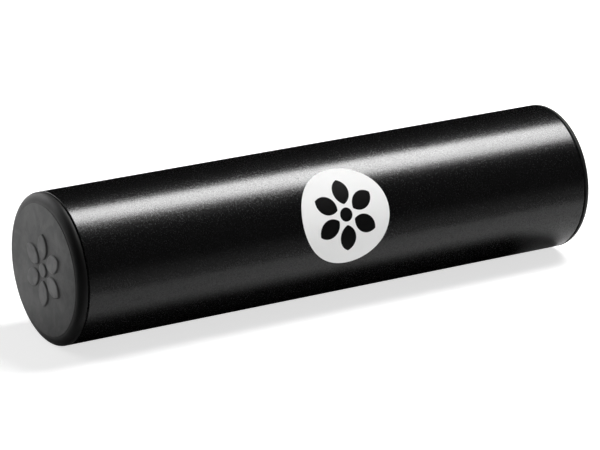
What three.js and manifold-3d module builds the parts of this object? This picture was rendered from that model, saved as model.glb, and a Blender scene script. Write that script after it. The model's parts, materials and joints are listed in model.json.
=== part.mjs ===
// Tube shaker: a black metal tube closed by two moulded rubber caps, with steel shot loose inside.
// Lengths are in millimetres and angles in radians. +X runs along the tube from the near cap to the far
// cap, +Z is up, and the origin is on the surface the shaker lies on, below the middle of the tube.

import * as THREE from "three";
import { mergeVertices } from "three/addons/utils/BufferGeometryUtils.js";
import Module from "manifold-3d";

// Tube: drawn metal tube, cut square, with its edges broken
const tubeRadius = 30;
const tubeWall = 1.5;
const tubeLength = 230;
const tubeEdgeBreak = 0.3;
const roundSides = 48;

// Cap: one rubber moulding with a flange that covers the tube's end and a hollow plug that grips the bore.
// Its face is a disc that stands a step above the flange's ledge.
const flangeRounding = 2.6;
const flangeRoundingSteps = 4;
const flangeBand = 0.8;
const flangeSeatGap = 0.2;
const ledgeWidth = 1.4;
const faceStep = 0.4;
const faceStepRun = 0.15;
const plugLength = 14;
const plugWall = 2.6;
const plugDraft = 0.4;
const plugLeadIn = 1;
const plugFloorFillet = 1.2;
const gripRibCount = 3;
const gripRibHeight = 0.9;
const gripRibBack = 0.3;
const gripRibSpacing = 1.3;
const gripRibFirst = 1.6;
const gripClearance = 0.1;

// Rosette moulded on each cap's face: a round hub with pointed petals round it, all of one height
const petalCount = 6;
const petalInner = 4.2;
const petalOuter = 14.5;
const petalWidth = 7.2;
const petalTipRadius = 0.6;
const petalCurveSteps = 3;
const hubRadius = 2.8;
const reliefHeight = 0.7;
const reliefEdgeBreak = 0.2;
const reliefRoot = 0.5;
const hubSides = 16;

// Label: a round film on the tube's side, midway along it
const labelRadius = 20;
const labelThickness = 0.1;
const labelGlueGap = 0.04;
const labelTurn = THREE.MathUtils.degToRad(70.4);
const labelStrips = 18;

// Shot: steel balls that lie in lanes along the tube, each lane clear of the next so that it runs by itself
const shotRadius = 3;
const shotGap = 0.3;
const shotDetail = 1;
const floorLanesEachSide = 3;
const shotsPerLane = 6;
const shotsEachSideOfPilot = 2;

// Sizes that follow from the ones above
const boreRadius = tubeRadius - tubeWall;
const halfSide = Math.PI / roundSides;
const axisHeight = tubeRadius * Math.cos(halfSide);
const halfTube = tubeLength / 2;
const flangeThickness = faceStep + flangeRounding + flangeBand;
const capFace = halfTube + flangeSeatGap + flangeThickness;

const black = new THREE.MeshStandardMaterial({ color: 0x101011, roughness: 0.34, metalness: 0.2 });
const rubber = new THREE.MeshStandardMaterial({ color: 0x3a3a3b, roughness: 0.7, metalness: 0 });
const white = new THREE.MeshStandardMaterial({ color: 0xf0f0ee, roughness: 0.4, metalness: 0 });
const steel = new THREE.MeshStandardMaterial({ color: 0xb9bcc0, roughness: 0.2, metalness: 1 });

const wasm = await Module();
wasm.setup();

// A closed geometry as a solid for cutting and joining.
function toSolid(geometry) {
  const bare = geometry.clone();
  bare.deleteAttribute("normal");
  bare.deleteAttribute("uv");
  const merged = mergeVertices(bare, 1e-4);
  return new wasm.Manifold(
    new wasm.Mesh({
      numProp: 3,
      vertProperties: new Float32Array(merged.attributes.position.array),
      triVerts: new Uint32Array(merged.index.array),
    }),
  );
}

// A cut or joined solid as a geometry again.
function toGeometry(solid) {
  const mesh = solid.getMesh();
  const geometry = new THREE.BufferGeometry();
  geometry.setAttribute("position", new THREE.BufferAttribute(mesh.vertProperties, 3));
  geometry.setIndex(new THREE.BufferAttribute(mesh.triVerts, 1));
  geometry.computeVertexNormals();
  return geometry;
}

// A profile of [distance along +X, radius] points, turned round the X axis with a flat side facing down.
function turned(profile, sides = roundSides) {
  const points = profile.map(([along, radius]) => new THREE.Vector2(radius, along));
  const lathe = new THREE.LatheGeometry(points, sides);
  lathe.rotateY(Math.PI / sides);
  return lathe.rotateZ(-Math.PI / 2);
}

// The tube's wall as a closed ring: its outside, its bore, and both ends with broken edges.
function tubeGeometry() {
  const end = halfTube;
  const edge = tubeEdgeBreak;
  return turned([
    [-end + edge, boreRadius],
    [-end, boreRadius + edge],
    [-end, tubeRadius - edge],
    [-end + edge, tubeRadius],
    [end - edge, tubeRadius],
    [end, tubeRadius - edge],
    [end, boreRadius + edge],
    [end - edge, boreRadius],
    [-end + edge, boreRadius],
  ]);
}

// Half of the cap's section from its face to the inside of its plug, measured inwards from the face.
function capProfile() {
  const ledgeOuter = tubeRadius - flangeRounding;
  const faceRadius = ledgeOuter - ledgeWidth;
  const ribTip = boreRadius - gripClearance;
  const plugRadius = ribTip - gripRibHeight;
  const plugEnd = flangeThickness + plugLength;
  const mouthRadius = plugRadius - plugWall + plugDraft;
  const floorRadius = plugRadius - plugWall;
  const ribPitch = (plugLength - plugLeadIn - gripRibFirst) / gripRibCount;

  const face = [
    [0, 0],
    [0, faceRadius - faceStepRun],
    [faceStep, faceRadius],
  ];
  const rounding = Array.from({ length: flangeRoundingSteps + 1 }, (_, i) => {
    const turn = (i / flangeRoundingSteps) * (Math.PI / 2);
    const along = faceStep + flangeRounding * (1 - Math.cos(turn));
    return [along, ledgeOuter + flangeRounding * Math.sin(turn)];
  });
  const seat = [
    [flangeThickness, tubeRadius],
    [flangeThickness, plugRadius],
  ];
  const ribs = Array.from({ length: gripRibCount }, (_, i) => {
    const start = flangeThickness + gripRibFirst + i * ribPitch;
    return [
      [start, plugRadius],
      [start + gripRibBack, ribTip],
      [start + ribPitch - gripRibSpacing, plugRadius],
    ];
  }).flat();
  const plug = [
    [plugEnd - plugLeadIn, plugRadius],
    [plugEnd, plugRadius - plugLeadIn],
    [plugEnd, mouthRadius],
    [flangeThickness + plugFloorFillet, floorRadius],
    [flangeThickness, floorRadius - plugFloorFillet],
    [flangeThickness, 0],
  ];
  return [...face, ...rounding, ...seat, ...ribs, ...plug];
}

// The rosette's hub, standing on the face with its root inside the cap.
function hubGeometry() {
  return turned(
    [
      [-reliefHeight, 0],
      [-reliefHeight, hubRadius - reliefEdgeBreak],
      [-reliefHeight + reliefEdgeBreak, hubRadius],
      [reliefRoot, hubRadius],
      [reliefRoot, 0],
    ],
    hubSides,
  );
}

// A petal's outline along +Y: two bowed sides that meet in rounded tips.
function petalOutline() {
  const halfLength = (petalOuter - petalInner) / 2 - petalTipRadius;
  const halfWidth = petalWidth / 2 - petalTipRadius;
  const bow = (halfLength ** 2 + halfWidth ** 2) / (2 * halfWidth);
  const sweep = Math.asin(halfLength / bow);
  const middle = (petalOuter + petalInner) / 2;
  const sideCentre = bow - halfWidth;
  const sideRadius = bow + petalTipRadius;
  const outline = new THREE.Shape();
  outline.absarc(-sideCentre, middle, sideRadius, -sweep, sweep);
  outline.absarc(0, middle + halfLength, petalTipRadius, sweep, Math.PI - sweep);
  outline.absarc(sideCentre, middle, sideRadius, Math.PI - sweep, Math.PI + sweep);
  outline.absarc(0, middle - halfLength, petalTipRadius, Math.PI + sweep, 2 * Math.PI - sweep);
  return outline;
}

// One petal, as deep as the hub, with its top edge broken. It points along +Y.
function petalGeometry() {
  const petal = new THREE.ExtrudeGeometry(petalOutline(), {
    depth: reliefHeight + reliefRoot - 2 * reliefEdgeBreak,
    curveSegments: petalCurveSteps,
    bevelThickness: reliefEdgeBreak,
    bevelSize: reliefEdgeBreak,
    bevelOffset: -reliefEdgeBreak,
    bevelSegments: 1,
  });
  return petal.translate(0, 0, reliefEdgeBreak - reliefHeight).rotateY(Math.PI / 2);
}

// The whole cap: the turned moulding with the rosette on its face, one petal pointing up.
function capGeometry() {
  let solid = toSolid(turned(capProfile())).add(toSolid(hubGeometry()));
  for (let i = 0; i < petalCount; i += 1) {
    const petal = petalGeometry().rotateX(Math.PI / 2 + (i / petalCount) * 2 * Math.PI);
    solid = solid.add(toSolid(petal));
  }
  return toGeometry(solid);
}

// The angles, measured from the label's centre line, at which its strips meet: evenly turned steps of its
// round outline, and every edge between two of the tube's flat sides.
function labelLines() {
  const half = labelRadius / tubeRadius;
  const lines = Array.from({ length: labelStrips + 1 }, (_, i) => {
    return -half * Math.cos((i / labelStrips) * Math.PI);
  });
  for (let side = 0; side < roundSides; side += 1) {
    const edge = (2 * side + 1) * halfSide - labelTurn;
    const nearest = Math.min(...lines.map((line) => Math.abs(line - edge)));
    if (Math.abs(edge) < half && nearest > halfSide * 0.02) lines.push(edge);
  }
  return lines.sort((a, b) => a - b);
}

// A point on a shell that follows the tube's flat sides at a distance from them. The turn is from the top
// of the tube towards -Y.
function onShell(along, turn, stand) {
  const middle = Math.round(turn / (2 * halfSide)) * 2 * halfSide;
  const radius = (tubeRadius * Math.cos(halfSide) + stand) / Math.cos(turn - middle);
  return [along, -radius * Math.sin(turn), radius * Math.cos(turn)];
}

// The label: strips along the tube whose ends follow a circle of the label's radius laid on the wall.
function labelGeometry() {
  const inner = labelGlueGap;
  const outer = labelGlueGap + labelThickness;
  const lines = labelLines();
  const positions = lines.flatMap((line) => {
    const arc = line * tubeRadius;
    const reach = Math.sqrt(Math.max(0, labelRadius ** 2 - arc ** 2));
    const turn = labelTurn + line;
    return [
      ...onShell(-reach, turn, inner),
      ...onShell(reach, turn, inner),
      ...onShell(-reach, turn, outer),
      ...onShell(reach, turn, outer),
    ];
  });
  const faces = [];
  for (let i = 0; i + 1 < lines.length; i += 1) {
    const [innerLeft, innerRight, outerLeft, outerRight] = [0, 1, 2, 3].map((corner) => 4 * i + corner);
    const next = 4;
    for (const [a, b] of [
      [innerLeft, innerRight],
      [innerRight, outerRight],
      [outerRight, outerLeft],
      [outerLeft, innerLeft],
    ]) {
      faces.push(a, b, b + next, a, b + next, a + next);
    }
  }
  const geometry = new THREE.BufferGeometry();
  geometry.setAttribute("position", new THREE.Float32BufferAttribute(positions, 3));
  geometry.setIndex(faces);
  return closeTips(geometry);
}

// Merges the corners that meet at a strip's pointed ends and drops the faces that this leaves empty.
function closeTips(geometry) {
  const merged = mergeVertices(geometry, 1e-4);
  const corners = merged.index.array;
  const kept = [];
  for (let i = 0; i < corners.length; i += 3) {
    const [a, b, c] = [corners[i], corners[i + 1], corners[i + 2]];
    if (a !== b && b !== c && c !== a) kept.push(a, b, c);
  }
  merged.setIndex(kept);
  merged.computeVertexNormals();
  return merged;
}

// The shot's lanes as seen along the tube from its near end, with +Y to the left: the path of the lanes on
// the tube's floor, and each lane's place as [name, y, z], with the middle lane left out.
function shotLanes() {
  const pitch = 2 * shotRadius + shotGap;
  const pathRadius = boreRadius * Math.cos(halfSide) - shotGap - shotRadius;
  const laneTurn = 2 * Math.asin(pitch / 2 / pathRadius);
  const lanes = [];
  for (const [side, sign] of [
    ["front", -1],
    ["rear", 1],
  ]) {
    for (let i = 1; i <= floorLanesEachSide; i += 1) {
      const turn = i * laneTurn;
      lanes.push([`floor_${side}_${i}`, sign * pathRadius * Math.sin(turn), -pathRadius * Math.cos(turn)]);
    }
    const restAside = pathRadius * Math.sin(laneTurn);
    const restHeight = -pathRadius * Math.cos(laneTurn);
    const climb = Math.sqrt(pitch ** 2 - (restAside - pitch / 2) ** 2);
    lanes.push([`upper_${side}`, (sign * pitch) / 2, restHeight + climb]);
  }
  return { pitch, pathRadius, lanes };
}

function named(name, geometry, material) {
  const mesh = new THREE.Mesh(geometry, material);
  mesh.name = name;
  return mesh;
}

// One ball, placed from the tube's axis.
function shot(name, along, aside, height) {
  const ball = named(name, new THREE.IcosahedronGeometry(shotRadius, shotDetail), steel);
  ball.position.set(along, aside, height);
  return ball;
}

// All the shot: the pilot ball at the bottom, its own lane on both sides of it, and the other lanes.
function shotCharge() {
  const charge = new THREE.Group();
  const { pitch, pathRadius, lanes } = shotLanes();
  charge.add(shot("shot_pilot", 0, 0, -pathRadius));
  for (let i = 1; i <= shotsEachSideOfPilot; i += 1) {
    charge.add(shot(`shot_middle_near_${i}`, -i * pitch, 0, -pathRadius));
    charge.add(shot(`shot_middle_far_${i}`, i * pitch, 0, -pathRadius));
  }
  for (const [lane, aside, height] of lanes) {
    for (let i = 0; i < shotsPerLane; i += 1) {
      const along = (i - (shotsPerLane - 1) / 2) * pitch;
      charge.add(shot(`shot_${lane}_${i + 1}`, along, aside, height));
    }
  }
  return charge;
}

const shaker = new THREE.Group();
shaker.position.z = axisHeight;

const cap = capGeometry();
const nearCap = named("near_end_cap", cap, rubber);
nearCap.position.x = -capFace;
const farCap = named("far_end_cap", cap, rubber);
farCap.position.x = capFace;
farCap.rotation.z = Math.PI;

shaker.add(named("shaker_tube", tubeGeometry(), black));
shaker.add(nearCap);
shaker.add(farCap);
shaker.add(named("round_label", labelGeometry(), white));
shaker.add(shotCharge());

const part = new THREE.Group();
part.add(shaker);

export default part;
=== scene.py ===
"""Tube shaker: a black satin tube with moulded rubber caps, a round label and loose steel shot.

Everything is in metres. +X runs along the tube from the near cap to the far cap and +Z is up.
"""

import json
import math

import bpy
import numpy as np
from mathutils import Matrix, Vector


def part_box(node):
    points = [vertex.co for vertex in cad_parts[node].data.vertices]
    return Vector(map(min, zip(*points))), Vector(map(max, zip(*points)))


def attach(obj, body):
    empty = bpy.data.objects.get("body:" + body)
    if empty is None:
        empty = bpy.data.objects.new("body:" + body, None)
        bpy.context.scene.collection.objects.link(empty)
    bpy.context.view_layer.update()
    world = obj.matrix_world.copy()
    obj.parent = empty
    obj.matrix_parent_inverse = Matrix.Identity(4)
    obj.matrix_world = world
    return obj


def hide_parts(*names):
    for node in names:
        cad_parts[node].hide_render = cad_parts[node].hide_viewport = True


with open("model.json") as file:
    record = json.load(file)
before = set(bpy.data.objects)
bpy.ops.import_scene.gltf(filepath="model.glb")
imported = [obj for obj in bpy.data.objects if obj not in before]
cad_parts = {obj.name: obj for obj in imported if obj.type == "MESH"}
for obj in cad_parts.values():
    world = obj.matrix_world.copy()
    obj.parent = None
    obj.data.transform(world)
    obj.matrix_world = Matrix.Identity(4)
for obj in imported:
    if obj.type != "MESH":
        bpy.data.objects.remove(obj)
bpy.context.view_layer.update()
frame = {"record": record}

bl_info = {
    "name": "Tube Shaker",
    "version": (1, 0, 0),
    "blender": (4, 5, 0),
    "location": "3D View > Sidebar > Shaker",
    "description": "Dresses a tube shaker with its satin tube, moulded caps, round label and steel shot",
    "category": "Add Mesh",
}

MM = 0.001
SENSOR_WIDTH = 36
CLIP_END = 50

TUBE_LOW, TUBE_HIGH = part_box("shaker_tube")
CAP_LOW, CAP_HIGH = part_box("near_end_cap")
LABEL_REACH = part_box("round_label")[1].x
AXIS_HEIGHT = (TUBE_LOW.z + TUBE_HIGH.z) / 2
TUBE_RADIUS = (TUBE_HIGH.z - TUBE_LOW.z) / 2


# Settings


class TubeSettings(bpy.types.PropertyGroup):
    """Sizes and colour of the tube."""

    radius: bpy.props.FloatProperty(
        name="Radius",
        description="Outer radius of the tube and of the caps' flanges",
        default=TUBE_RADIUS,
        subtype="DISTANCE",
        unit="LENGTH",
    )
    wall: bpy.props.FloatProperty(
        name="Wall",
        description="Thickness of the tube's wall",
        default=1.5 * MM,
        subtype="DISTANCE",
        unit="LENGTH",
    )
    half_length: bpy.props.FloatProperty(
        name="Half length",
        description="Distance from the tube's middle to its cut end",
        default=TUBE_HIGH.x,
        subtype="DISTANCE",
        unit="LENGTH",
    )
    edge_break: bpy.props.FloatProperty(
        name="Edge break",
        description="Rounding of the tube's cut edges",
        default=0.2 * MM,
        subtype="DISTANCE",
        unit="LENGTH",
    )
    colour: bpy.props.FloatVectorProperty(
        name="Colour",
        description="Colour of the satin coat",
        default=(0.0041, 0.0041, 0.0042),
        subtype="COLOR",
        size=3,
    )


class CapSettings(bpy.types.PropertyGroup):
    """Sizes and colour of the moulded caps."""

    rounding: bpy.props.FloatProperty(
        name="Rounding",
        description="Depth of the flange's rounded outer edge",
        default=2.7 * MM,
        subtype="DISTANCE",
        unit="LENGTH",
    )
    flange: bpy.props.FloatProperty(
        name="Flange",
        description="Thickness of the flange, from the cap's face to its seat on the tube's end",
        default=3.8 * MM,
        subtype="DISTANCE",
        unit="LENGTH",
    )
    ledge: bpy.props.FloatProperty(
        name="Ledge",
        description="Width of the ledge that eases the flange's rounding into the raised face",
        default=1.3 * MM,
        subtype="DISTANCE",
        unit="LENGTH",
    )
    step: bpy.props.FloatProperty(
        name="Step",
        description="Height of the raised face above the ledge",
        default=0.2 * MM,
        subtype="DISTANCE",
        unit="LENGTH",
    )
    plug_wall: bpy.props.FloatProperty(
        name="Plug wall",
        description="Thickness of the hollow plug's wall",
        default=2.6 * MM,
        subtype="DISTANCE",
        unit="LENGTH",
    )
    rib_height: bpy.props.FloatProperty(
        name="Rib height",
        description="How far the grip ribs stand out of the plug",
        default=0.9 * MM,
        subtype="DISTANCE",
        unit="LENGTH",
    )
    rib_count: bpy.props.IntProperty(
        name="Ribs",
        description="Number of grip ribs round the plug",
        default=3,
        min=1,
    )
    colour: bpy.props.FloatVectorProperty(
        name="Colour",
        description="Colour of the rubber",
        default=(0.0035, 0.0035, 0.0036),
        subtype="COLOR",
        size=3,
    )
    # This grey is a painted sheen on the flat faces, standing in for their gloss, with a little dust.
    sheen_dust_colour: bpy.props.FloatVectorProperty(
        name="Bloom colour",
        description="Colour of the rubber's flat faces, which rubbing and dust have greyed",
        default=(0.1, 0.1, 0.1),
        subtype="COLOR",
        size=3,
    )
    gap: bpy.props.FloatProperty(
        name="Shadow gap",
        description="Width of the step cut round the flange's edge where it meets the tube",
        default=0.55 * MM,
        subtype="DISTANCE",
        unit="LENGTH",
    )


class RosetteSettings(bpy.types.PropertyGroup):
    """Sizes of the rosette that is moulded on the caps and printed on the label."""

    petals: bpy.props.IntProperty(
        name="Petals",
        description="Number of petals round the hub",
        default=6,
        min=3,
    )
    inner: bpy.props.FloatProperty(
        name="Inner reach",
        description="Distance from the centre to the petals' inner tips",
        default=4.2 * MM,
        subtype="DISTANCE",
        unit="LENGTH",
    )
    outer: bpy.props.FloatProperty(
        name="Outer reach",
        description="Distance from the centre to the petals' outer tips",
        default=14.5 * MM,
        subtype="DISTANCE",
        unit="LENGTH",
    )
    width: bpy.props.FloatProperty(
        name="Petal width",
        description="Width of a petal at its middle",
        default=7.2 * MM,
        subtype="DISTANCE",
        unit="LENGTH",
    )
    tip: bpy.props.FloatProperty(
        name="Tip radius",
        description="Rounding of the petals' tips",
        default=0.6 * MM,
        subtype="DISTANCE",
        unit="LENGTH",
    )
    hub: bpy.props.FloatProperty(
        name="Hub radius",
        description="Radius of the round hub",
        default=2.8 * MM,
        subtype="DISTANCE",
        unit="LENGTH",
    )
    height: bpy.props.FloatProperty(
        name="Height",
        description="How far the moulded rosette stands proud of the cap's face",
        default=0.7 * MM,
        subtype="DISTANCE",
        unit="LENGTH",
    )


class LabelSettings(bpy.types.PropertyGroup):
    """Sizes and colours of the round label."""

    radius: bpy.props.FloatProperty(
        name="Radius",
        description="Radius of the label, measured along the tube's surface",
        default=LABEL_REACH,
        subtype="DISTANCE",
        unit="LENGTH",
    )
    thickness: bpy.props.FloatProperty(
        name="Thickness",
        description="Thickness of the film",
        default=0.12 * MM,
        subtype="DISTANCE",
        unit="LENGTH",
    )
    turn: bpy.props.FloatProperty(
        name="Turn",
        description="Angle from the top of the tube to the label's centre, towards -Y",
        default=math.radians(70.4),
        subtype="ANGLE",
        unit="ROTATION",
    )
    paper: bpy.props.FloatVectorProperty(
        name="Film colour",
        description="Colour of the label's film",
        default=(0.87, 0.87, 0.865),
        subtype="COLOR",
        size=3,
    )
    ink: bpy.props.FloatVectorProperty(
        name="Ink colour",
        description="Colour of the printed rosette",
        default=(0.0025, 0.0025, 0.0026),
        subtype="COLOR",
        size=3,
    )


class ShotSettings(bpy.types.PropertyGroup):
    """Fineness and colour of the steel shot."""

    rings: bpy.props.IntProperty(
        name="Rings",
        description="Number of bands from pole to pole on each ball",
        default=16,
        min=4,
    )
    colour: bpy.props.FloatVectorProperty(
        name="Colour",
        description="Colour of the polished steel",
        default=(0.62, 0.63, 0.65),
        subtype="COLOR",
        size=3,
    )


class StageSettings(bpy.types.PropertyGroup):
    """The camera, the lamps and the floor."""

    azimuth: bpy.props.FloatProperty(
        name="Azimuth",
        description="Turn of the camera round the shaker, from looking along +Y",
        default=math.radians(-31.759),
        subtype="ANGLE",
        unit="ROTATION",
    )
    elevation: bpy.props.FloatProperty(
        name="Elevation",
        description="Height of the camera above the horizon",
        default=math.radians(17.869),
        subtype="ANGLE",
        unit="ROTATION",
    )
    distance: bpy.props.FloatProperty(
        name="Distance",
        description="Distance from the camera to the middle of the tube",
        default=1288.65 * MM,
        subtype="DISTANCE",
        unit="LENGTH",
    )
    aside: bpy.props.FloatVectorProperty(
        name="Aside",
        description="How far the tube's middle lies right of the picture's centre and above it",
        default=(3.26 * MM, 1.90 * MM),
        subtype="XYZ",
        size=2,
    )
    lens: bpy.props.FloatProperty(
        name="Lens",
        description="Focal length in millimetres on a sensor 36 mm wide",
        default=193.09,
    )
    floor_colour: bpy.props.FloatVectorProperty(
        name="Floor colour",
        description="Colour of the floor",
        default=(0.72, 0.72, 0.72),
        subtype="COLOR",
        size=3,
    )
    floor_lift: bpy.props.FloatProperty(
        name="Floor lift",
        description="White added to what is seen of the floor",
        default=0.64,
        min=0.0,
    )


# Surfaces


def arc(start, corner, end, radius, steps):
    """The rounding of a corner: a circle's arc tangent to both sides, swept evenly from side to side."""
    into = np.subtract(start, corner) / np.linalg.norm(np.subtract(start, corner))
    away = np.subtract(end, corner) / np.linalg.norm(np.subtract(end, corner))
    half = math.acos(np.clip(into @ away, -1, 1)) / 2
    centre = corner + (into + away) / np.linalg.norm(into + away) * radius / math.sin(half)
    reach = radius / math.tan(half)
    first, last = corner + into * reach - centre, corner + away * reach - centre
    sweep = math.pi - 2 * half
    share = np.linspace(0, 1, steps + 1)[:, None]
    return centre + (np.sin((1 - share) * sweep) * first + np.sin(share * sweep) * last) / math.sin(sweep)


def rounded(corners, closed, steps=5, support=0.12 * MM):
    """A profile with rounded corners. Each corner is (along, radius, rounding), and the rounding is held
    between two points close to it, so that the flats beside it stay flat in shading. A large rounding gets
    a step for each longest step of its radius."""
    longest_step = 0.2 * MM
    points = [np.array(corner[:2]) for corner in corners]
    count = len(points)
    made = []
    for i, corner in enumerate(corners):
        if corner[2] <= 0 or (not closed and i in (0, count - 1)):
            made.append(points[i][None])
            continue
        before, after = points[i - 1], points[(i + 1) % count]
        bend = arc(before, points[i], after, corner[2], max(steps, int(corner[2] / longest_step)))
        into = (before - points[i]) / np.linalg.norm(before - points[i])
        away = (after - points[i]) / np.linalg.norm(after - points[i])
        made += [(bend[0] + into * support)[None], bend, (bend[-1] + away * support)[None]]
    return np.concatenate(made)


def bands(rings, sides, closed=False, flip=False):
    """The four-cornered faces between neighbouring rings of points. Ring r starts at point r times sides,
    and closed rings go from the last one on to the first. Flipped faces keep their first corner."""
    ring = np.arange(rings if closed else rings - 1)[:, None]
    side = np.arange(sides)[None]
    here, there = ring * sides, (ring + 1) % rings * sides
    after = (side + 1) % sides
    corners = [here + side, here + after, there + after, there + side]
    if flip:
        corners = corners[:1] + corners[:0:-1]
    return np.stack(corners, axis=-1).reshape(-1, 4).tolist()


def fan(pole, start, sides, flip=False):
    """The three-cornered faces between a pole and the ring that starts at a given point."""
    side = np.arange(sides)
    corners = [np.full(sides, pole), start + (side + 1) % sides, start + side]
    if flip:
        corners = corners[:1] + corners[:0:-1]
    return np.stack(corners, axis=-1).tolist()


def turned(profile, closed, sides=256):
    """A profile turned round the tube's axis: x = along, y = -radius sin(turn), z = axis + radius cos(turn).
    An open profile starts and ends on the axis, and its ends close in one point each."""
    turn = np.linspace(0, 2 * math.pi, sides, endpoint=False)
    rings = profile if closed else profile[1:-1]
    along, radius = rings[:, 0, None], rings[:, 1, None]
    grid = np.stack(
        [along + 0 * turn, -radius * np.sin(turn), AXIS_HEIGHT + radius * np.cos(turn)], axis=-1
    )
    vertices = grid.reshape(-1, 3)
    faces = bands(len(rings), sides, closed)
    if not closed:
        first, last = len(vertices), len(vertices) + 1
        poles = [[profile[0, 0], 0, AXIS_HEIGHT], [profile[-1, 0], 0, AXIS_HEIGHT]]
        vertices = np.concatenate([vertices, poles])
        faces += fan(first, 0, sides) + fan(last, first - sides, sides, flip=True)
    return vertices, faces


def new_mesh(name, shells, crease=math.radians(50)):
    """One mesh from closed shells of (vertices, faces), shaded smooth except at edges past the crease."""
    faces = []
    start = 0
    for shell_vertices, shell_faces in shells:
        faces += [[corner + start for corner in face] for face in shell_faces]
        start += len(shell_vertices)
    mesh = bpy.data.meshes.new(name)
    mesh.from_pydata(np.concatenate([shell[0] for shell in shells]).tolist(), [], faces)
    mesh.validate()
    mesh.polygons.foreach_set("use_smooth", np.ones(len(mesh.polygons), bool))
    mesh.set_sharp_from_angle(angle=crease)
    return mesh


def add_piece(name, mesh, material, body, slot, *nodes):
    """Puts a finished mesh into the scene, on its body and in place of its nodes."""
    piece = bpy.data.objects.new(name, mesh)
    mesh.materials.append(material)
    bpy.context.scene.collection.objects.link(piece)
    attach(piece, body)
    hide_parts(*nodes)
    return piece


# Materials


def put(tree, kind, inputs=None, **settings):
    """A shader node with its settings made and its inputs set to values or linked to sockets."""
    made = tree.nodes.new(kind)
    for name, value in settings.items():
        setattr(made, name, value)
    for name, value in (inputs or {}).items():
        if isinstance(value, bpy.types.NodeSocket):
            tree.links.new(value, made.inputs[name])
        else:
            made.inputs[name].default_value = value
    return made


def reckoned(tree, operation, *values, **settings):
    """The result of a Math node on the given values or sockets."""
    return put(tree, "ShaderNodeMath", dict(enumerate(values)), operation=operation, **settings).outputs[0]


def vector(tree, operation, *values):
    """A Vector Math node on the given vectors or sockets."""
    return put(tree, "ShaderNodeVectorMath", dict(enumerate(values)), operation=operation)


def ranged(tree, value, low=0.0, high=1.0, start=0.0, end=1.0, soft=False):
    """A value's way from start to end spread over low to high, and held there beyond. A soft one eases in
    and out."""
    return put(
        tree, "ShaderNodeMapRange",
        {"Value": value, "From Min": start, "From Max": end, "To Min": low, "To Max": high},
        interpolation_type="SMOOTHSTEP" if soft else "LINEAR",
    ).outputs["Result"]


def colour_between(tree, factor, first, second):
    """The mix of two plain colours, from the first at a factor of 0 to the second at 1."""
    return put(
        tree, "ShaderNodeMix", {"Factor": factor, "A": (*first, 1), "B": (*second, 1)}, data_type="RGBA"
    ).outputs[2]


def new_group(name, inputs, outputs):
    """An empty shader node group with float inputs of (name, default) and float outputs."""
    tree = bpy.data.node_groups.new(name, "ShaderNodeTree")
    for label, default in inputs:
        socket = tree.interface.new_socket(label, in_out="INPUT", socket_type="NodeSocketFloat")
        socket.default_value = default
    for label in outputs:
        tree.interface.new_socket(label, in_out="OUTPUT", socket_type="NodeSocketFloat")
    return tree


def fine_grain():
    """Node group: the even grain of a blasted or moulded surface, as a height from 0 to 1. It is a noise of
    the given scale mixed with a noise 2.3 times as fine."""
    if "fine_grain" in bpy.data.node_groups:
        return bpy.data.node_groups["fine_grain"]
    tree = new_group("fine_grain", [("Scale", 2500.0), ("Fine Share", 0.4)], ["Height"])
    given = tree.nodes.new("NodeGroupInput")
    place = put(tree, "ShaderNodeTexCoord")
    coarse = put(
        tree, "ShaderNodeTexNoise",
        {"Vector": place.outputs["Object"], "Scale": given.outputs["Scale"], "Detail": 2.0},
    )
    fine = put(
        tree, "ShaderNodeTexNoise",
        {"Vector": place.outputs["Object"], "Detail": 1.0,
         "Scale": reckoned(tree, "MULTIPLY", given.outputs["Scale"], 2.3)},
    )
    mixed = put(
        tree, "ShaderNodeMix",
        {"Factor": given.outputs["Fine Share"], "A": coarse.outputs["Fac"], "B": fine.outputs["Fac"]},
    )
    left = tree.nodes.new("NodeGroupOutput")
    tree.links.new(mixed.outputs["Result"], left.inputs["Height"])
    return tree


def handling_marks():
    """Node group: the faint uneven sheen that hands leave, as a mask from 0 to 1 in soft patches."""
    if "handling_marks" in bpy.data.node_groups:
        return bpy.data.node_groups["handling_marks"]
    tree = new_group("handling_marks", [("Scale", 40.0)], ["Mask"])
    given = tree.nodes.new("NodeGroupInput")
    place = put(tree, "ShaderNodeTexCoord")
    patches = put(
        tree, "ShaderNodeTexNoise",
        {"Vector": place.outputs["Object"], "Scale": given.outputs["Scale"], "Detail": 5.0,
         "Roughness": 0.6, "Distortion": 0.6},
    )
    left = tree.nodes.new("NodeGroupOutput")
    mask = ranged(tree, patches.outputs["Fac"], start=0.35, end=0.7, soft=True)
    tree.links.new(mask, left.inputs["Mask"])
    return tree


def surface(name):
    """A new material's node tree and its Principled BSDF."""
    material = bpy.data.materials.new(name)
    material.use_nodes = True
    tree = material.node_tree
    return material, tree, tree.nodes["Principled BSDF"]


def grained(tree, shader, scale, height, fine_share=0.5):
    """Grain on a shader's normal: the group's height through a Bump of the given height in metres. Gives
    the height, for what else follows the grain."""
    grain = put(
        tree, "ShaderNodeGroup", {"Scale": scale, "Fine Share": fine_share}, node_tree=fine_grain()
    ).outputs["Height"]
    bump = put(tree, "ShaderNodeBump", {"Height": grain, "Distance": height, "Strength": 1.0})
    tree.links.new(bump.outputs["Normal"], shader.inputs["Normal"])
    return grain


def marked(tree, scale, low, high):
    """The handling marks at a given scale, spread over low to high."""
    marks = put(tree, "ShaderNodeGroup", {"Scale": scale}, node_tree=handling_marks())
    return ranged(tree, marks.outputs["Mask"], low, high)


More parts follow.
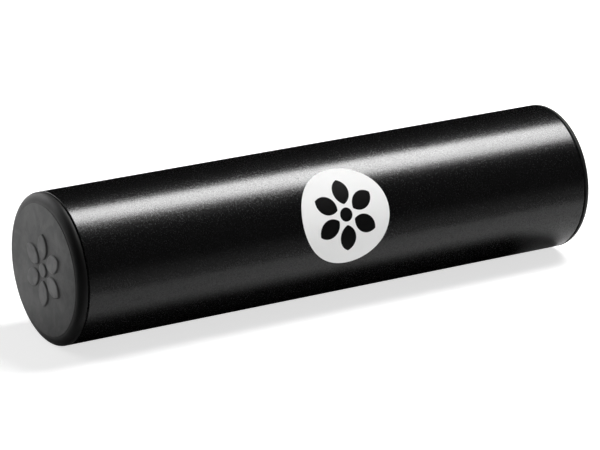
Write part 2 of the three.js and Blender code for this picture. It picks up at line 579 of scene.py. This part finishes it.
def satin_coat(settings):
    """The tube's black satin coat over blasted metal. The coat lies thicker where the grain is high, and the
    metal under it is rougher there, so the gloss comes and goes with the grain. The roughness is the sum of
    what the grain gives and what wear gives."""
    material, tree, shader = surface("satin_coat")
    shader.inputs["Base Color"].default_value = (*settings.colour, 1)
    shader.inputs["IOR"].default_value = 1.4
    shader.inputs["Coat IOR"].default_value = 1.45
    shader.inputs["Coat Roughness"].default_value = 0.24
    height = grained(tree, shader, 1500.0, 0.04 * MM)
    tree.links.new(ranged(tree, height, start=0.35, end=0.69), shader.inputs["Coat Weight"])
    grain_roughness = 0.165
    blasted = ranged(tree, height, 0.0, grain_roughness, start=0.39, end=0.62)
    worn = marked(tree, 30.0, 0.115, 0.14)
    tree.links.new(reckoned(tree, "ADD", blasted, worn), shader.inputs["Roughness"])
    return material


def moulded_rubber(cap, rosette):
    """The caps' matt black rubber with the fine texture of its mould. The flat face and the rosette's tops
    get a painted sheen, a grey mottled in dusty patches, the relief's walls a painted shade, and the
    rounding beside them stays black. How grey depends on the distance from the cap's middle along the tube,
    from below the face to the rosette's tops."""
    material, tree, shader = surface("moulded_rubber")
    shader.inputs["IOR"].default_value = 1.4
    shader.inputs["Sheen Weight"].default_value = 0.07
    shader.inputs["Sheen Roughness"].default_value = 0.4
    grained(tree, shader, 1100.0, 0.06 * MM)
    tree.links.new(marked(tree, 60.0, 0.48, 0.58), shader.inputs["Roughness"])
    place = put(tree, "ShaderNodeTexCoord")
    along = put(tree, "ShaderNodeSeparateXYZ", {0: place.outputs["Object"]}).outputs["X"]
    outward = reckoned(tree, "ABSOLUTE", along)
    face = -CAP_LOW.x - rosette.height
    below = 0.3 * MM
    share = ranged(tree, outward, start=face - below, end=face + rosette.height)
    sheen_and_shade_levels = put(tree, "ShaderNodeValToRGB", {"Fac": share})
    ramp = sheen_and_shade_levels.color_ramp.elements
    ramp[0].position, ramp[0].color = 0.02, (0, 0, 0, 1)
    ramp[1].position, ramp[1].color = 0.98, (1, 1, 1, 1)
    # Painted sheen and shade: the flat face and the rosette's tops are painted grey for their gloss, the
    # relief's walls darker as painted shade, and the rounding black.
    face_sheen_level, wall_shade_level, edge_sheen_level = 0.52, 0.15, 0.5
    for position, level in ((0.28, face_sheen_level), (0.36, face_sheen_level), (0.5, wall_shade_level), (0.7, edge_sheen_level)):
        ramp.new(position).color = (level, level, level, 1)
    dusty = marked(tree, 170.0, 0.62, 1.15)
    greyed = reckoned(tree, "MULTIPLY", sheen_and_shade_levels.outputs["Color"], dusty, use_clamp=True)
    tree.links.new(colour_between(tree, greyed, cap.colour, cap.sheen_dust_colour), shader.inputs["Base Color"])
    return material


def steel_finish(settings):
    """The shot's polished steel."""
    material, tree, shader = surface("polished_steel")
    shader.inputs["Base Color"].default_value = (*settings.colour, 1)
    shader.inputs["Metallic"].default_value = 1.0
    tree.links.new(marked(tree, 400.0, 0.08, 0.2), shader.inputs["Roughness"])
    return material


def printed_film(label, rosette):
    """The label's white film with the rosette printed on it. The film's own map gives each point's place
    from the label's centre in radii. A point is ink inside the hub's circle, or where, turned into the
    nearest petal's sector, it lies within both of the circles that bow the petal's sides."""
    material, tree, shader = surface("printed_film")
    shader.inputs["IOR"].default_value = 1.22
    _, _, middle, side_centre, side_radius = petal_circles(rosette)
    place = put(tree, "ShaderNodeUVMap", uv_map="label_map")
    metres = vector(
        tree, "MULTIPLY_ADD",
        place.outputs["UV"], (label.radius * 2,) * 3, (-label.radius, -label.radius, 0.0),
    ).outputs[0]
    split = put(tree, "ShaderNodeSeparateXYZ", {0: metres})
    reach = vector(tree, "LENGTH", metres).outputs["Value"]
    angle = reckoned(tree, "ARCTAN2", split.outputs["X"], split.outputs["Y"])
    sector = 2 * math.pi / rosette.petals
    shifted = reckoned(tree, "ADD", angle, sector / 2)
    wrapped = reckoned(tree, "FLOORED_MODULO", shifted, sector)
    folded = reckoned(tree, "SUBTRACT", wrapped, sector / 2)
    outward = reckoned(tree, "MULTIPLY", reach, reckoned(tree, "COSINE", folded))
    across = reckoned(tree, "MULTIPLY", reach, reckoned(tree, "SINE", folded))
    aside = reckoned(tree, "ABSOLUTE", across)
    point = put(tree, "ShaderNodeCombineXYZ", {"X": outward, "Y": aside}).outputs[0]
    side = vector(tree, "DISTANCE", point, (middle, -side_centre, 0.0)).outputs["Value"]
    beyond_petal = reckoned(tree, "SUBTRACT", side, side_radius)
    beyond_hub = reckoned(tree, "SUBTRACT", reach, rosette.hub)
    beyond = reckoned(tree, "MINIMUM", beyond_petal, beyond_hub)
    soft_edge = 0.03 * MM
    inked = ranged(tree, beyond, 1.0, 0.0, start=-soft_edge, end=soft_edge, soft=True)
    tree.links.new(colour_between(tree, inked, label.paper, label.ink), shader.inputs["Base Color"])
    tree.links.new(marked(tree, 90.0, 0.56, 0.64), shader.inputs["Roughness"])
    return material


# Pieces


def petal_circles(rosette):
    """A petal's bow as (half length, sweep, middle, side centre, side radius): its sides are arcs whose
    circles stand off its middle line, and its tips are round. The bow's radius is half the sum of the
    squares of half the length and half the width, over half the width."""
    half_length = (rosette.outer - rosette.inner) / 2 - rosette.tip
    half_width = rosette.width / 2 - rosette.tip
    bow = (half_length ** 2 + half_width ** 2) / (2 * half_width)
    sweep = math.asin(half_length / bow)
    middle = (rosette.outer + rosette.inner) / 2
    return half_length, sweep, middle, bow - half_width, bow + rosette.tip


def petal_outline(rosette, offset, side_steps=24, tip_steps=8):
    """A petal's outline as (outward, across) points, grown outwards by an offset: two bowed sides and two
    round tips, all of them circles' arcs."""
    half_length, sweep, middle, side_centre, side_radius = petal_circles(rosette)
    arcs = [
        (middle, -side_centre, side_radius, -sweep, sweep, side_steps),
        (middle + half_length, 0.0, rosette.tip, sweep, math.pi - sweep, tip_steps),
        (middle, side_centre, side_radius, math.pi - sweep, math.pi + sweep, side_steps),
        (middle - half_length, 0.0, rosette.tip, math.pi + sweep, 2 * math.pi - sweep, tip_steps),
    ]
    pieces = []
    for outward, across, radius, start, end, steps in arcs:
        turn = np.linspace(start, end, steps, endpoint=False)
        grown = radius + offset
        pieces.append(np.stack([outward + grown * np.sin(turn), across + grown * np.cos(turn)], axis=-1))
    return np.concatenate(pieces)


def relief_profile(rosette):
    """The section of a moulded relief's edge, as (offset, depth below the face): a root in the cap, a
    flared foot on the face, a wall with a little draft, and a rounded top edge. Foot and edge are quarters
    of circles."""
    foot, edge, draft, inset = 0.2 * MM, 0.4 * MM, 0.05 * MM, 0.1 * MM
    bend_points = 5
    turn = np.linspace(0, math.pi / 2, bend_points)
    flare = np.stack([foot * (1 - np.sin(turn)), -foot * (1 - np.cos(turn))], axis=-1)
    top = np.stack(
        [-draft - edge * (1 - np.cos(turn)), -rosette.height + edge * (1 - np.sin(turn))], axis=-1
    )
    root = np.array([[foot, 2 * foot]])
    inside = np.array([[-draft - edge - inset, -rosette.height]])
    return np.concatenate([root, flare, top, inside])


def petal_shell(rosette, face, index):
    """One raised petal: the relief's profile carried along the petal's outline, closed by a flat top and
    a flat root, and turned to its place in the ring."""
    profile = relief_profile(rosette)
    rings = np.stack([petal_outline(rosette, offset) for offset in profile[:, 0]])
    turn = 2 * math.pi * index / rosette.petals
    outward, across = rings[..., 0], rings[..., 1]
    grid = np.stack(
        [
            face + profile[:, 1, None] + 0 * outward,
            -(outward * math.sin(turn) + across * math.cos(turn)),
            AXIS_HEIGHT + outward * math.cos(turn) - across * math.sin(turn),
        ],
        axis=-1,
    )
    count, sides = rings.shape[:2]
    last = (count - 1) * sides
    root, top = list(reversed(range(sides))), list(range(last, last + sides))
    return grid.reshape(-1, 3), bands(count, sides) + [root, top]


def hub_shell(rosette, face, sides=96):
    """The raised hub: the relief's profile turned round the cap's axis."""
    profile = relief_profile(rosette)
    rings = np.stack([face + profile[:, 1], rosette.hub + profile[:, 0]], axis=-1)
    ends = np.array([[face + profile[-1, 1], 0.0], [face + profile[0, 1], 0.0]])
    return turned(np.concatenate([ends[:1], rings[::-1], ends[1:]]), False, sides)


def cap_profile(tube, cap, face, plug_end):
    """A cap's section from the middle of its raised face, round the flange and the ribbed plug, to the
    middle of the plug's floor. The ledge and the rounding are one quarter of an ellipse, as wide as both and
    as deep as the rounding."""
    clearance = 0.1 * MM
    face_radius = tube.radius - cap.rounding - cap.ledge
    tip = tube.radius - tube.wall - clearance
    plug = tip - cap.rib_height
    seat = face + cap.flange
    inner = plug - cap.plug_wall
    lead, mouth = 1.0 * MM, 0.4 * MM
    step_draft, ease = 0.05 * MM, 0.15 * MM
    crisp, sharp, small, soft, fillet = 0.06 * MM, 0.1 * MM, 0.12 * MM, 0.3 * MM, 1.2 * MM
    ellipse_points = 20
    corners = [
        (face, 0.0, 0),
        (face, face_radius - step_draft, sharp),
        (face + cap.step, face_radius, crisp),
    ]
    foot, width = face_radius + ease, cap.rounding + cap.ledge - ease
    for turn in np.linspace(0, math.pi / 2, ellipse_points):
        along = face + cap.step + cap.rounding * (1 - math.cos(turn))
        corners.append((along, foot + width * math.sin(turn), 0))
    corners += [
        (seat - cap.gap, tube.radius, crisp),
        (seat - cap.gap, tube.radius - 2 * cap.gap, small),
        (seat, tube.radius - 2 * cap.gap, small),
        (seat, plug, small),
    ]
    neck, slope, land, rib_edge = 1.6 * MM, 0.3 * MM, 1.3 * MM, 0.08 * MM
    first = seat + neck
    pitch = (plug_end - lead - first) / cap.rib_count
    for i in range(cap.rib_count):
        start = first + i * pitch
        corners += [
            (start, plug, 0),
            (start + slope, tip, rib_edge),
            (start + pitch - land, plug, 0),
        ]
    corners += [
        (plug_end - lead, plug, soft),
        (plug_end, plug - lead, sharp),
        (plug_end, inner + mouth, mouth / 2),
        (seat, inner, fillet),
        (seat, 0.0, 0),
    ]
    return rounded(corners, False, support=crisp)


def cap_mesh(name, tube, cap, rosette, far):
    """A cap's moulding and its rosette. The far cap is the near one turned half round the vertical."""
    face = CAP_LOW.x + rosette.height
    shells = [turned(cap_profile(tube, cap, face, CAP_HIGH.x), False), hub_shell(rosette, face)]
    shells += [petal_shell(rosette, face, i) for i in range(rosette.petals)]
    if far:
        shells = [(vertices * (-1, -1, 1), faces) for vertices, faces in shells]
    return new_mesh(name, shells)


def label_mesh(tube, label, rings=24, sides=192):
    """A round film bent round the tube, with a rounded rim. A point at (reach, angle) on the flat disc has
    its reach along the tube as reach cos(angle), and its arc round the tube as reach sin(angle)."""
    lift = 0.02 * MM
    edge = 0.05 * MM
    bend = np.linspace(0, math.pi / 2, 4)
    reach = np.concatenate([
        np.linspace(0, label.radius - 2 * edge, rings)[1:],
        label.radius - edge + edge * np.sin(bend),
        np.linspace(label.radius, 0, rings)[:-1],
    ])
    height = np.concatenate([
        np.full(rings - 1, label.thickness),
        label.thickness - edge * (1 - np.cos(bend)),
        np.full(rings - 1, lift),
    ])
    turn = np.linspace(0, 2 * math.pi, sides, endpoint=False)
    flat = np.stack([reach[:, None] * np.cos(turn), reach[:, None] * np.sin(turn)], axis=-1)
    flat = np.concatenate([flat.reshape(-1, 2), [[0.0, 0.0], [0.0, 0.0]]])
    stand = np.concatenate([np.repeat(height, sides), [label.thickness, lift]]) + tube.radius
    around = label.turn - flat[:, 1] / tube.radius
    vertices = np.stack(
        [flat[:, 0], -stand * np.sin(around), AXIS_HEIGHT + stand * np.cos(around)], axis=-1
    )
    centre, under = len(vertices) - 2, len(vertices) - 1
    faces = bands(len(reach), sides, flip=True)
    faces += fan(centre, 0, sides, flip=True) + fan(under, centre - sides, sides)
    mesh = new_mesh("round_label_film", [(vertices, faces)])
    corner = np.empty(len(mesh.loops), np.int32)
    mesh.loops.foreach_get("vertex_index", corner)
    spread = (flat[corner] / (2 * label.radius) + 0.5).astype(np.float32)
    mesh.uv_layers.new(name="label_map").data.foreach_set("uv", spread.ravel())
    return mesh


def ball_shell(node, rings):
    """A ball in its node's place: rings of points from pole to pole round its middle, at heights of the
    radius times cos(fall)."""
    low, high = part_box(node)
    middle = np.array((low + high) / 2)
    radius = (high.x - low.x) / 2
    sides = rings * 2
    fall = np.linspace(0, math.pi, rings + 1)[1:-1, None]
    turn = np.linspace(0, 2 * math.pi, sides, endpoint=False)
    grid = np.stack(
        [np.sin(fall) * np.cos(turn), np.sin(fall) * np.sin(turn), np.cos(fall) + 0 * turn], axis=-1
    )
    vertices = np.concatenate([grid.reshape(-1, 3), [[0, 0, 1], [0, 0, -1]]]) * radius + middle
    top, bottom = len(vertices) - 2, len(vertices) - 1
    faces = bands(rings - 1, sides, flip=True)
    faces += fan(top, 0, sides, flip=True) + fan(bottom, top - sides, sides)
    return vertices, faces


class SHAKER_OT_tube(bpy.types.Operator):
    """Make the tube: a drawn wall, cut square, with rounded edges and a satin coat"""

    bl_idname = "shaker.tube"
    bl_label = "Tube"

    def execute(self, context):
        tube = context.scene.shaker_tube
        bore = tube.radius - tube.wall
        corners = [
            (-tube.half_length, bore, tube.edge_break),
            (-tube.half_length, tube.radius, tube.edge_break),
            (tube.half_length, tube.radius, tube.edge_break),
            (tube.half_length, bore, tube.edge_break),
        ]
        mesh = new_mesh("satin_tube", [turned(rounded(corners, True), True)])
        add_piece("satin_tube", mesh, satin_coat(tube), "shell", "black_tube", "shaker_tube")
        return {"FINISHED"}


class SHAKER_OT_caps(bpy.types.Operator):
    """Make both end caps, each one rubber moulding with its rosette"""

    bl_idname = "shaker.caps"
    bl_label = "End Caps"

    def execute(self, context):
        scene = context.scene
        rubber = moulded_rubber(scene.shaker_cap, scene.shaker_rosette)
        for name, node, far in (
            ("near_cap_moulding", "near_end_cap", False),
            ("far_cap_moulding", "far_end_cap", True),
        ):
            mesh = cap_mesh(name, scene.shaker_tube, scene.shaker_cap, scene.shaker_rosette, far)
            add_piece(name, mesh, rubber, "shell", "cap_rubber", node)
        return {"FINISHED"}


class SHAKER_OT_label(bpy.types.Operator):
    """Make the round label that is wrapped on the tube's side"""

    bl_idname = "shaker.label"
    bl_label = "Label"

    def execute(self, context):
        scene = context.scene
        mesh = label_mesh(scene.shaker_tube, scene.shaker_label)
        film = printed_film(scene.shaker_label, scene.shaker_rosette)
        add_piece("round_label_film", mesh, film, "shell", "label_film", "round_label")
        return {"FINISHED"}


class SHAKER_OT_shot(bpy.types.Operator):
    """Make the steel shot, one mesh for each body of balls"""

    bl_idname = "shaker.shot"
    bl_label = "Shot"

    def execute(self, context):
        settings = context.scene.shaker_shot
        steel = steel_finish(settings)
        for body, nodes in frame["record"]["behaviour"]["bodies"].items():
            if body == "shell":
                continue
            name = f"{body}_balls"
            mesh = new_mesh(name, [ball_shell(node, settings.rings) for node in nodes])
            add_piece(name, mesh, steel, body, "steel_shot", *nodes)
        return {"FINISHED"}


# Stage


def corners_of(half):
    """The corners of a square on the floor, by half its side."""
    return [(-half, -half, 0), (half, -half, 0), (half, half, 0), (-half, half, 0)]


def stage_plane(name, corners, material):
    """A flat four-cornered sheet that belongs to the stage."""
    mesh = bpy.data.meshes.new(name)
    mesh.from_pydata(corners, [], [(0, 1, 2, 3)])
    mesh.materials.append(material)
    plane = bpy.data.objects.new(name, mesh)
    bpy.context.scene.collection.objects.link(plane)
    return plane


def seen_directly(tree, mirrored=1.0):
    """1 for a ray from the camera or a refracted one, the given share for a mirrored one, and 0 for a ray
    that carries light."""
    path = put(tree, "ShaderNodeLightPath")
    glossy = reckoned(tree, "MULTIPLY", path.outputs["Is Glossy Ray"], mirrored)
    shiny = reckoned(tree, "MAXIMUM", glossy, path.outputs["Is Transmission Ray"])
    return reckoned(tree, "MAXIMUM", path.outputs["Is Camera Ray"], shiny)


def floor_paper(stage):
    """The floor's white paper. What is seen of it is lifted towards white, most of all far out where the
    lamps don't reach, and its shadows stay. In a mirrored ray the lift starts behind the shaker, and the
    strip that the shaker lies on is painted black, a painted shadow: the distance beyond a rectangle fades
    it out."""
    lift_from, lift_full = -0.01, 0.05
    near, far_out = 0.4, 1.4
    strip_shift, strip_half, strip_fade = (0.014, 0.0, 0.0), (0.104, 0.025, 0.0), 0.018
    material, tree, shader = surface("floor_paper")
    shader.inputs["Roughness"].default_value = 0.9
    shader.inputs["Specular IOR Level"].default_value = 0.0
    shader.inputs["Emission Color"].default_value = (1, 1, 1, 1)
    place = put(tree, "ShaderNodeTexCoord").outputs["Object"]
    depth = put(tree, "ShaderNodeSeparateXYZ", {0: place}).outputs["Y"]
    clear = ranged(tree, depth, start=lift_from, end=lift_full, soft=True)
    reach = vector(tree, "LENGTH", place).outputs["Value"]
    rising = ranged(tree, reach, stage.floor_lift, 1.0, near, far_out, soft=True)
    lift = reckoned(tree, "MULTIPLY", seen_directly(tree, clear), rising)
    tree.links.new(lift, shader.inputs["Emission Strength"])
    sides = vector(tree, "ABSOLUTE", vector(tree, "ADD", place, strip_shift).outputs[0]).outputs[0]
    beyond = vector(tree, "SUBTRACT", sides, strip_half).outputs[0]
    outside = vector(tree, "MAXIMUM", beyond, (0.0, 0.0, 0.0)).outputs[0]
    gap = vector(tree, "LENGTH", outside).outputs["Value"]
    strip = ranged(tree, gap, 1.0, 0.0, end=strip_fade, soft=True)
    # Painted shadow: in a mirrored ray the floor under the shaker is painted black.
    mirrored = put(tree, "ShaderNodeLightPath").outputs["Is Glossy Ray"]
    shade = reckoned(tree, "MULTIPLY", strip, mirrored)
    paper = colour_between(tree, shade, stage.floor_colour, (0, 0, 0))
    tree.links.new(paper, shader.inputs["Base Color"])
    return material


def black_card(name, glow=0.0, reach=0.0):
    """The black card of a flag that stands beside the shaker. A graded one has a painted glow at its
    foot, standing in for the floor's light, which falls evenly to nothing at the height that it reaches."""
    material, tree, shader = surface(name)
    shader.inputs["Base Color"].default_value = (0.002, 0.002, 0.002, 1)
    shader.inputs["Specular IOR Level"].default_value = 0.0
    if glow:
        shader.inputs["Emission Color"].default_value = (1, 1, 1, 1)
        place = put(tree, "ShaderNodeTexCoord").outputs["Object"]
        rise = put(tree, "ShaderNodeSeparateXYZ", {0: place}).outputs["Z"]
        tree.links.new(ranged(tree, rise, glow, 0.0, end=reach), shader.inputs["Emission Strength"])
    return material


def softbox_cloth(strength):
    """The white cloth of the softbox over the shaker. It glows evenly up to its front edge, which runs
    slantwise and fades out over about a hand's width."""
    slant, fade_from, fade_to = 0.34, -0.12, 0.01
    material, tree, shader = surface("softbox_cloth")
    shader.inputs["Base Color"].default_value = (0, 0, 0, 1)
    shader.inputs["Specular IOR Level"].default_value = 0.0
    shader.inputs["Emission Color"].default_value = (1, 1, 1, 1)
    place = put(tree, "ShaderNodeTexCoord").outputs["Object"]
    inward = vector(tree, "DOT_PRODUCT", place, (slant, 1.0, 0.0)).outputs["Value"]
    glow = ranged(tree, inward, 0.0, strength, fade_from, fade_to, soft=True)
    tree.links.new(glow, shader.inputs["Emission Strength"])
    return material


def lamp(name, place, target, size, power, **seen):
    """A rectangular lamp aimed at a point. What it may not be seen by is given as visible_... = False."""
    data = bpy.data.lights.new(name, "AREA")
    data.shape = "RECTANGLE"
    data.size, data.size_y = size
    data.energy = power
    lit = bpy.data.objects.new(name, data)
    bpy.context.scene.collection.objects.link(lit)
    lit.location = place
    lit.rotation_euler = (Vector(target) - Vector(place)).to_track_quat("-Z", "Y").to_euler()
    for flag, value in seen.items():
        setattr(lit, flag, value)
    return lit


def white_surround(scene):
    """The world: white where it is seen, and a faint grey as light."""
    world = bpy.data.worlds.new("white_surround")
    scene.world = world
    world.use_nodes = True
    tree = world.node_tree
    strength = ranged(tree, seen_directly(tree), 0.1, 1.0)
    back = tree.nodes["Background"]
    back.inputs["Color"].default_value = (1, 1, 1, 1)
    tree.links.new(strength, back.inputs["Strength"])


def put_camera(scene, stage):
    """The camera. It stands back from the tube's middle by the distance, turned by the azimuth from looking
    along +Y and raised by the elevation, and is then moved aside."""
    a, e = stage.azimuth, stage.elevation
    back = Vector((math.sin(a) * math.cos(e), -math.cos(a) * math.cos(e), math.sin(e)))
    right = Vector((math.cos(a), math.sin(a), 0))
    up = back.cross(right)
    data = bpy.data.cameras.new("studio_camera")
    data.lens = stage.lens
    data.sensor_width = SENSOR_WIDTH
    data.clip_end = CLIP_END
    camera = bpy.data.objects.new("studio_camera", data)
    scene.collection.objects.link(camera)
    middle = Vector((0, 0, AXIS_HEIGHT))
    place = middle + back * stage.distance - right * stage.aside[0] - up * stage.aside[1]
    turn = Matrix((right, up, back)).transposed()
    camera.matrix_world = Matrix.Translation(place) @ turn.to_4x4()
    scene.camera = camera


class SHAKER_OT_stage(bpy.types.Operator):
    """Make the floor, the black flags, the lamps, the surround and the camera"""

    bl_idname = "shaker.stage"
    bl_label = "Stage"

    def execute(self, context):
        scene = context.scene
        stage = scene.shaker_stage
        floor_half = 3.0
        stage_plane("floor", corners_of(floor_half), floor_paper(stage))
        top, box_front, box_rear, box_left, box_right = 0.86, -0.38, 0.185, 0.16, 0.76
        front_foot, rear_foot, left, rear_left, right = -0.075, 0.095, -0.135, -0.09, 1.3
        rear_top = box_rear + 0.01
        end, end_height, left_height = 0.27, 0.17, 0.2
        card_glow, card_reach, box_glow = 0.34, 0.04, 14.1
        black, graded = black_card("black_card"), black_card("graded_card", card_glow, card_reach)
        for name, card, corners in (
            (
                "front_flag", graded,
                [(left, front_foot, 0.0), (right, front_foot, 0.0),
                 (right, box_front, top), (left, box_front, top)],
            ),
            (
                "left_flag", black,
                [(left, 0.0, 0.0), (left, front_foot, 0.0),
                 (left, box_front, top), (left, 0.0, left_height)],
            ),
            (
                "rear_flag", black,
                [(rear_left, rear_foot, 0.0), (right, rear_foot, 0.0),
                 (right, rear_top, top), (rear_left, rear_top, top)],
            ),
            (
                "right_flag", black,
                [(end, front_foot, 0.0), (end, rear_foot, 0.0),
                 (end, rear_foot, end_height), (end, front_foot, end_height)],
            ),
        ):
            flag = stage_plane(name, corners, card)
            for kind in ("camera", "diffuse", "shadow", "transmission"):
                setattr(flag, f"visible_{kind}", False)
        box = stage_plane(
            "overhead_softbox",
            [(box_left, box_front, top), (box_left, box_rear, top),
             (box_right, box_rear, top), (box_right, box_front, top)],
            softbox_cloth(box_glow),
        )
        box.visible_camera = False
        lamp(
            "front_softbox", place=(-0.85, -1.2, 0.25), target=(0.0, 0.0, 0.03), size=(1.0, 0.5),
            power=9.5, visible_camera=False, visible_glossy=False,
        )
        lamp(
            "rear_softbox", place=(-0.56, 0.97, 0.44), target=(-0.12, 0.0, 0.03), size=(0.8, 0.5),
            power=3.6, visible_camera=False,
        )
        white_surround(scene)
        put_camera(scene, stage)
        scene.view_settings.view_transform = "Standard"
        return {"FINISHED"}


# The add-on


class SHAKER_PT_panel(bpy.types.Panel):
    """Lists the shaker's pieces and their sizes"""

    bl_idname = "SHAKER_PT_panel"
    bl_label = "Tube Shaker"
    bl_space_type = "VIEW_3D"
    bl_region_type = "UI"
    bl_category = "Shaker"

    def draw(self, context):
        for operator, settings in STEPS:
            box = self.layout.box()
            box.operator(operator)
            for name in settings:
                group = getattr(context.scene, name)
                for key in group.bl_rna.properties.keys():
                    if key not in ("rna_type", "name"):
                        box.prop(group, key)


SETTINGS = {
    "shaker_tube": TubeSettings,
    "shaker_cap": CapSettings,
    "shaker_rosette": RosetteSettings,
    "shaker_label": LabelSettings,
    "shaker_shot": ShotSettings,
    "shaker_stage": StageSettings,
}

STEPS = [
    ("shaker.stage", ["shaker_stage"]),
    ("shaker.tube", ["shaker_tube"]),
    ("shaker.caps", ["shaker_cap", "shaker_rosette"]),
    ("shaker.label", ["shaker_label"]),
    ("shaker.shot", ["shaker_shot"]),
]

CLASSES = [
    *SETTINGS.values(),
    SHAKER_OT_stage,
    SHAKER_OT_tube,
    SHAKER_OT_caps,
    SHAKER_OT_label,
    SHAKER_OT_shot,
    SHAKER_PT_panel,
]


def register():
    """Registers the classes and gives each scene the settings."""
    for cls in CLASSES:
        bpy.utils.register_class(cls)
    for name, cls in SETTINGS.items():
        setattr(bpy.types.Scene, name, bpy.props.PointerProperty(type=cls))


def unregister():
    """Takes the settings and the classes away again."""
    for name in SETTINGS:
        delattr(bpy.types.Scene, name)
    for cls in reversed(CLASSES):
        bpy.utils.unregister_class(cls)


def main():
    """Makes the stage and the shaker."""
    register()
    for operator, _ in STEPS:
        family, action = operator.split(".")
        getattr(getattr(bpy.ops, family), action)()


if __name__ == "__main__":
    main()
